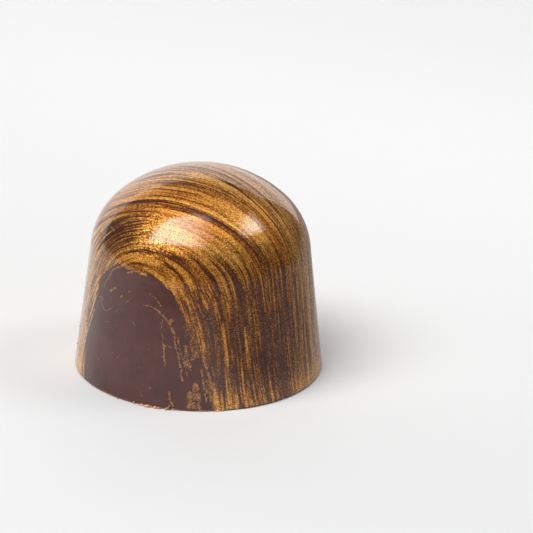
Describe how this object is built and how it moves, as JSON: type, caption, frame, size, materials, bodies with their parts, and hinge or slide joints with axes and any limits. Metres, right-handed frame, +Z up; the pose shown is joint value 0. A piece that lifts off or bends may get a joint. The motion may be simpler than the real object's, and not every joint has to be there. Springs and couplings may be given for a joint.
{
  "type": "chocolate praline",
  "caption": "Round moulded chocolate sweet with a drafted wall, a domed top brushed with gold dust in arches, a bare dark side and a flat foot.",
  "frame": {"origin": "centre of the flat foot, on the surface that the praline stands on", "axes": "+Z up through the middle of the crown; -Y towards the front, with the bare dark side 42 degrees round from it towards -X"},
  "size_m": [0.028, 0.028, 0.0233],
  "materials": {
    "gold_brushed_chocolate": "glossy dark chocolate with gold dust brushed over it in fine arching streaks"
  },
  "bodies": {
    "root": {"praline": "gold_brushed_chocolate"}
  },
  "joints": []
}
